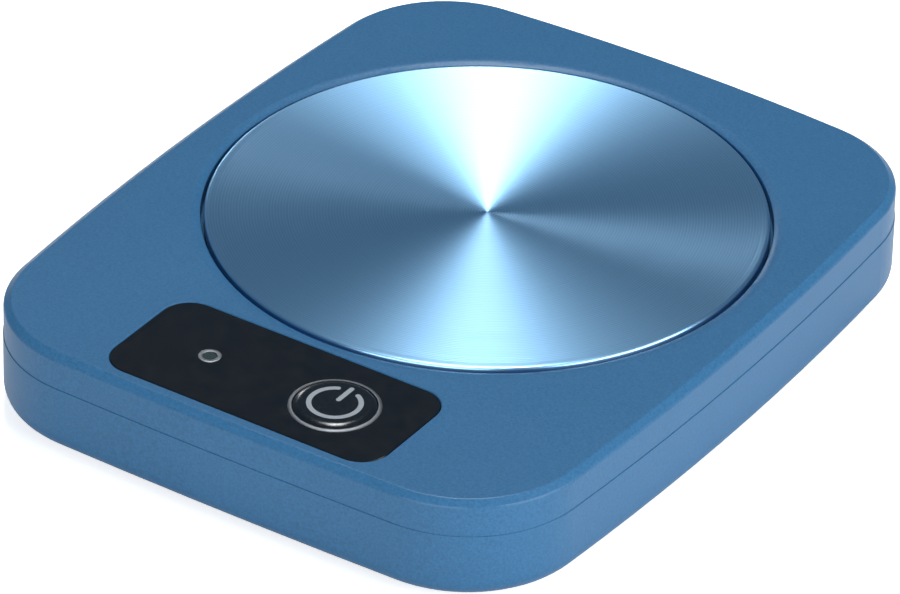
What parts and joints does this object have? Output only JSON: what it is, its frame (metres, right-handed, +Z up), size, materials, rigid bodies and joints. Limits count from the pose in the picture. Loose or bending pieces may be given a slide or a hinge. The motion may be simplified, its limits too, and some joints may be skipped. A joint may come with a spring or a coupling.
{
  "type": "electric mug warmer",
  "caption": "Flat electric mug warmer: bowed blue casing, round spun-metal heating plate, black control panel with indicator and round power button, rear power socket.",
  "frame": {"origin": "middle of the footprint, on the surface that the feet stand on", "axes": "+Z up, out of the heating plate; -Y towards the user and the control panel; +X to the user's right"},
  "size_m": [0.102, 0.1253, 0.0185],
  "materials": {
    "case_blue": "soft-touch moulded, fine grain",
    "plate_metal": "spun, fine concentric grooves",
    "panel_black": "smooth satin",
    "button_black": "smooth, glossy skirt",
    "silver_trim": "satin plated",
    "symbol_silver": "printed silver ink",
    "lens_smoke": "translucent smoked",
    "silicone": "moulded, dark",
    "film_amber": "film",
    "foil_copper": "etched foil",
    "insulation": "pressed fibre felt",
    "steel": "pressed sheet",
    "screw_steel": "zinc plated",
    "board_green": "solder mask",
    "inner_black": "moulded",
    "nylon_white": "moulded",
    "tin": "tinned",
    "gold": "plated contact",
    "ceramic_tan": "fired ceramic",
    "resistor_black": "glazed",
    "can_aluminium": "sleeve-free can",
    "fuse_case": "plated case",
    "sensor_epoxy": "dipped epoxy",
    "lead_white": "silicone sleeve",
    "lead_black": "sleeve",
    "lead_grey": "sleeve",
    "adhesive": "film",
    "foot_rubber": "moulded",
    "led_resin": "clear resin"
  },
  "bodies": {
    "case": {"top_shell": "case_blue", "base_shell": "case_blue", "rubber_feet": "foot_rubber", "case_screws": "screw_steel", "heating_plate": "plate_metal", "plate_gasket": "silicone", "heater_film": "film_amber", "heater_trace": "foil_copper", "heater_cover_film": "film_amber", "heater_terminals": "tin", "insulation_pad": "insulation", "clamp_plate": "steel", "clamp_screws": "screw_steel", "thermal_fuse": "fuse_case", "fuse_clip": "steel", "temperature_sensor": "sensor_epoxy", "control_panel": "panel_black", "panel_adhesive": "adhesive", "button_ring": "silver_trim", "indicator_ring": "silver_trim", "indicator_lens": "lens_smoke", "indicator_led": "led_resin", "switch_housing": "inner_black", "switch_cover": "steel", "switch_dome": "steel", "switch_terminals": "tin", "main_board": "board_green", "board_screws": "screw_steel", "control_chip": "inner_black", "chip_legs": "tin", "power_transistor": "inner_black", "voltage_regulator": "inner_black", "bulk_capacitor": "can_aluminium", "ceramic_capacitors": "ceramic_tan", "chip_resistors": "resistor_black", "heater_header": "nylon_white", "sensor_header": "nylon_white", "supply_header": "nylon_white", "header_pins": "tin", "heater_plug": "nylon_white", "sensor_plug": "nylon_white", "supply_plug": "nylon_white", "heater_leads": "lead_white", "sensor_leads": "lead_grey", "supply_leads": "lead_black", "lead_joints": "tin", "inlet_board": "board_green", "inlet_screws": "screw_steel", "socket_shell": "steel", "socket_tongue": "inner_black", "socket_contacts": "gold", "inlet_resistors": "resistor_black"},
    "button": {"power_button": "button_black", "power_symbol": "symbol_silver", "switch_plunger": "inner_black"}
  },
  "joints": [
    {"name": "button_press", "type": "slide", "parent": "case", "child": "button", "axis": [0, 0, -1], "range_m": [0, 0.0003], "stiffness_N_per_m": 5000, "springref_m": -0.0001, "deforming": ["switch_dome"]}
  ]
}
